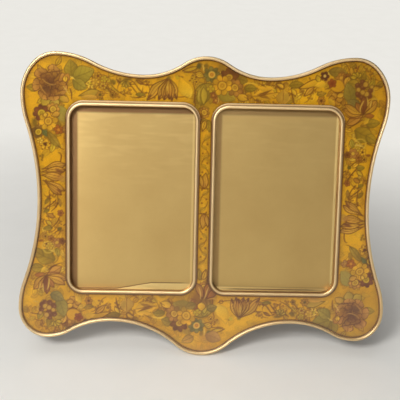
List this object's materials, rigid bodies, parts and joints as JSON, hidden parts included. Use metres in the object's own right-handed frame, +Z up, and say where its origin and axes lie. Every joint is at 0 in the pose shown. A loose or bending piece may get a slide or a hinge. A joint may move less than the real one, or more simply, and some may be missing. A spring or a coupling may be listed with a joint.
{
  "type": "double photo frame",
  "caption": "Free-standing double photo frame: scalloped printed front in a brass bead rim, side-by-side windows with bezels, a lift-out brass back and an easel strut.",
  "frame": {"origin": "on the table, under the middle of the standing frame's box", "axes": "+Z up, front towards -Y, +X to the right as seen from the front"},
  "size_m": [0.2452, 0.1029, 0.1921],
  "materials": {
    "gilt_brass": "rolled, polished, softly worn",
    "floral_print": "printed flowers under amber lacquer",
    "strawboard": "raw board",
    "rear_enamel": "brown stoved enamel",
    "satin_brass": "satin, brushed",
    "strut_brass": "lacquered, brushed",
    "bright_rivet": "bright"
  },
  "bodies": {
    "frame": {"printed_panel": "floral_print", "core_board": "strawboard", "rear_cover": "rear_enamel", "outer_rim": "gilt_brass", "window_bezel_left": "gilt_brass", "window_bezel_right": "gilt_brass", "bottom_ledge_left": "strut_brass", "bottom_ledge_right": "strut_brass", "ledge_rivets": "bright_rivet", "button_spacers": "bright_rivet", "button_rivets": "bright_rivet"},
    "back": {"back_plate": "satin_brass", "hinge_bracket": "strut_brass", "bracket_rivets": "bright_rivet", "hinge_pin": "bright_rivet"},
    "strut": {"easel_strut": "strut_brass"},
    "button_upper_left": {"turn_button_upper_left": "strut_brass"},
    "button_lower_left": {"turn_button_lower_left": "strut_brass"},
    "button_upper_right": {"turn_button_upper_right": "strut_brass"},
    "button_lower_right": {"turn_button_lower_right": "strut_brass"}
  },
  "joints": [
    {"name": "back_slide", "type": "slide", "parent": "frame", "child": "back", "axis": [0, 0.309, 0.9511], "range_m": [0, 0.14]},
    {"name": "strut_hinge", "type": "hinge", "parent": "back", "child": "strut", "pos_m": [0, 0.00335, 0.13835], "axis": [1, 0, 0], "range_deg": [-36, 0]},
    {"name": "turn_upper_left", "type": "hinge", "parent": "frame", "child": "button_upper_left", "pos_m": [-0.0977, 0.00083, 0.14127], "axis": [0, 0.9511, -0.309], "range_deg": [-90, 90]},
    {"name": "turn_lower_left", "type": "hinge", "parent": "frame", "child": "button_lower_left", "pos_m": [-0.0977, -0.02636, 0.05758], "axis": [0, 0.9511, -0.309], "range_deg": [-90, 90]},
    {"name": "turn_upper_right", "type": "hinge", "parent": "frame", "child": "button_upper_right", "pos_m": [0.0977, 0.00083, 0.14127], "axis": [0, 0.9511, -0.309], "range_deg": [-90, 90]},
    {"name": "turn_lower_right", "type": "hinge", "parent": "frame", "child": "button_lower_right", "pos_m": [0.0977, -0.02636, 0.05758], "axis": [0, 0.9511, -0.309], "range_deg": [-90, 90]}
  ]
}
